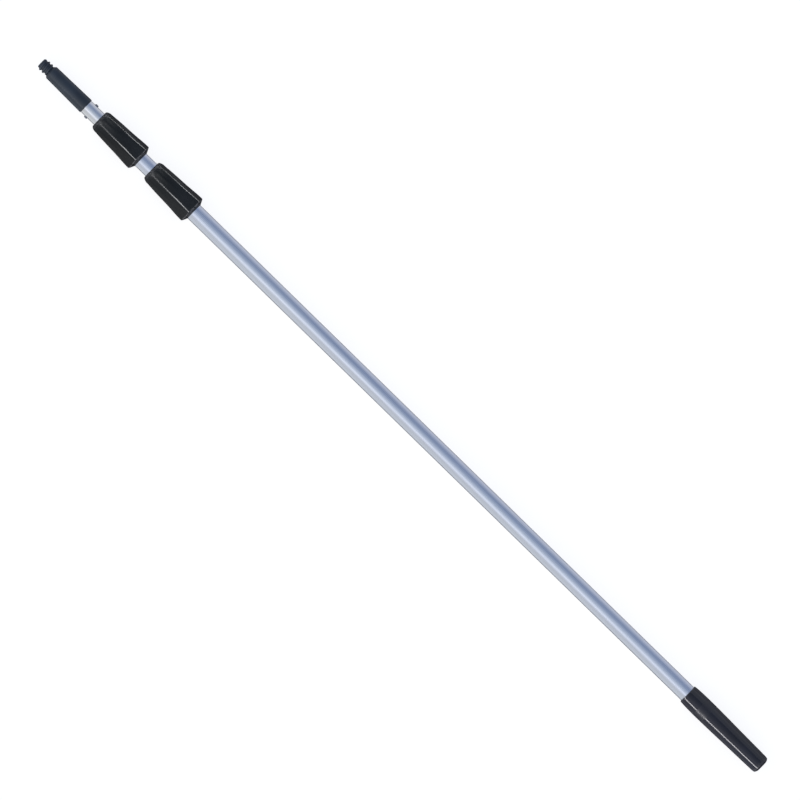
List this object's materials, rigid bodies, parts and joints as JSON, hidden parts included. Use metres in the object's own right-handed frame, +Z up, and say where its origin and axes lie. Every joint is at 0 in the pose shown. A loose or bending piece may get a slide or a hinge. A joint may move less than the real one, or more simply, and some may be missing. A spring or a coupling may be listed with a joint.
{
  "type": "telescopic window cleaning pole",
  "caption": "Telescopic window cleaning pole of nested anodised aluminium tubes with twist clamp collars, a tapered tool cone with a threaded nose and snap buttons, and an end grip.",
  "frame": {"origin": "bottom centre of the bounding box: the pole lies level on one flat of its lower collar, half way along its retracted length", "axes": "+X along the pole from the threaded nose to the grip, +Z up, +Y across"},
  "size_m": [1.515, 0.0458, 0.0412],
  "materials": {
    "anodised_tube": "satin blue-grey anodised, fine lines along the tube",
    "anodised_inner_tube": "satin natural anodised",
    "collar_plastic": "semi-gloss black nylon",
    "cone_plastic": "satin black nylon",
    "grip_plastic": "satin black moulded grip",
    "sleeve_plastic": "black nylon",
    "ring_plastic": "natural acetal",
    "bumper_rubber": "matt rubber",
    "spring_steel": "dull plated steel"
  },
  "bodies": {
    "handle_section": {"outer_tube": "anodised_tube", "handle_grip": "grip_plastic", "end_bumper": "bumper_rubber", "lower_clamp_sleeve": "sleeve_plastic", "lower_sleeve_rivet_a": "spring_steel", "lower_sleeve_rivet_b": "spring_steel", "lower_collet": "ring_plastic"},
    "lower_ring": {"lower_thrust_ring": "ring_plastic"},
    "lower_collar": {"lower_clamp_collar": "collar_plastic"},
    "middle_section": {"middle_tube": "anodised_tube", "middle_guide_bush": "ring_plastic", "middle_bush_pin_a": "spring_steel", "middle_bush_pin_b": "spring_steel", "upper_clamp_sleeve": "sleeve_plastic", "upper_sleeve_rivet_a": "spring_steel", "upper_sleeve_rivet_b": "spring_steel", "upper_collet": "ring_plastic"},
    "upper_ring": {"upper_thrust_ring": "ring_plastic"},
    "upper_collar": {"upper_clamp_collar": "collar_plastic"},
    "inner_section": {"inner_tube": "anodised_inner_tube", "inner_guide_bush": "ring_plastic", "inner_bush_pin_a": "spring_steel", "inner_bush_pin_b": "spring_steel", "tip_cone": "cone_plastic", "button_spring": "spring_steel"},
    "button_a": {"snap_button_a": "spring_steel"},
    "button_b": {"snap_button_b": "spring_steel"}
  },
  "joints": [
    {"name": "middle_slide", "type": "slide", "parent": "handle_section", "child": "middle_section", "axis": [-1, 0, 0], "range_m": [0, 1.1]},
    {"name": "inner_slide", "type": "slide", "parent": "middle_section", "child": "inner_section", "axis": [-1, 0, 0], "range_m": [0, 1.1]},
    {"name": "lower_ring_slide", "type": "slide", "parent": "handle_section", "child": "lower_ring", "axis": [-1, 0, 0], "range_m": [0, 0.00205]},
    {"name": "lower_collar_turn", "type": "hinge", "parent": "lower_ring", "child": "lower_collar", "pos_m": [-0.526, 0, 0.02061], "axis": [-1, 0, 0], "range_deg": [0, 180]},
    {"name": "upper_ring_slide", "type": "slide", "parent": "middle_section", "child": "upper_ring", "axis": [-1, 0, 0], "range_m": [0, 0.00205]},
    {"name": "upper_collar_turn", "type": "hinge", "parent": "upper_ring", "child": "upper_collar", "pos_m": [-0.6354, 0, 0.02061], "axis": [-1, 0, 0], "range_deg": [0, 180]},
    {"name": "button_a_press", "type": "slide", "parent": "inner_section", "child": "button_a", "axis": [0, -0.9659, -0.2588], "range_m": [0, 0.003], "stiffness_N_per_m": 2000, "deforming": ["button_spring"]},
    {"name": "button_b_press", "type": "slide", "parent": "inner_section", "child": "button_b", "axis": [0, 0.9659, 0.2588], "range_m": [0, 0.003], "stiffness_N_per_m": 2000, "deforming": ["button_spring"]}
  ],
  "couplings": [
    {"joint": "lower_ring_slide", "follows": "lower_collar_turn", "m_per_rad": 0.00063662},
    {"joint": "upper_ring_slide", "follows": "upper_collar_turn", "m_per_rad": 0.00063662}
  ]
}
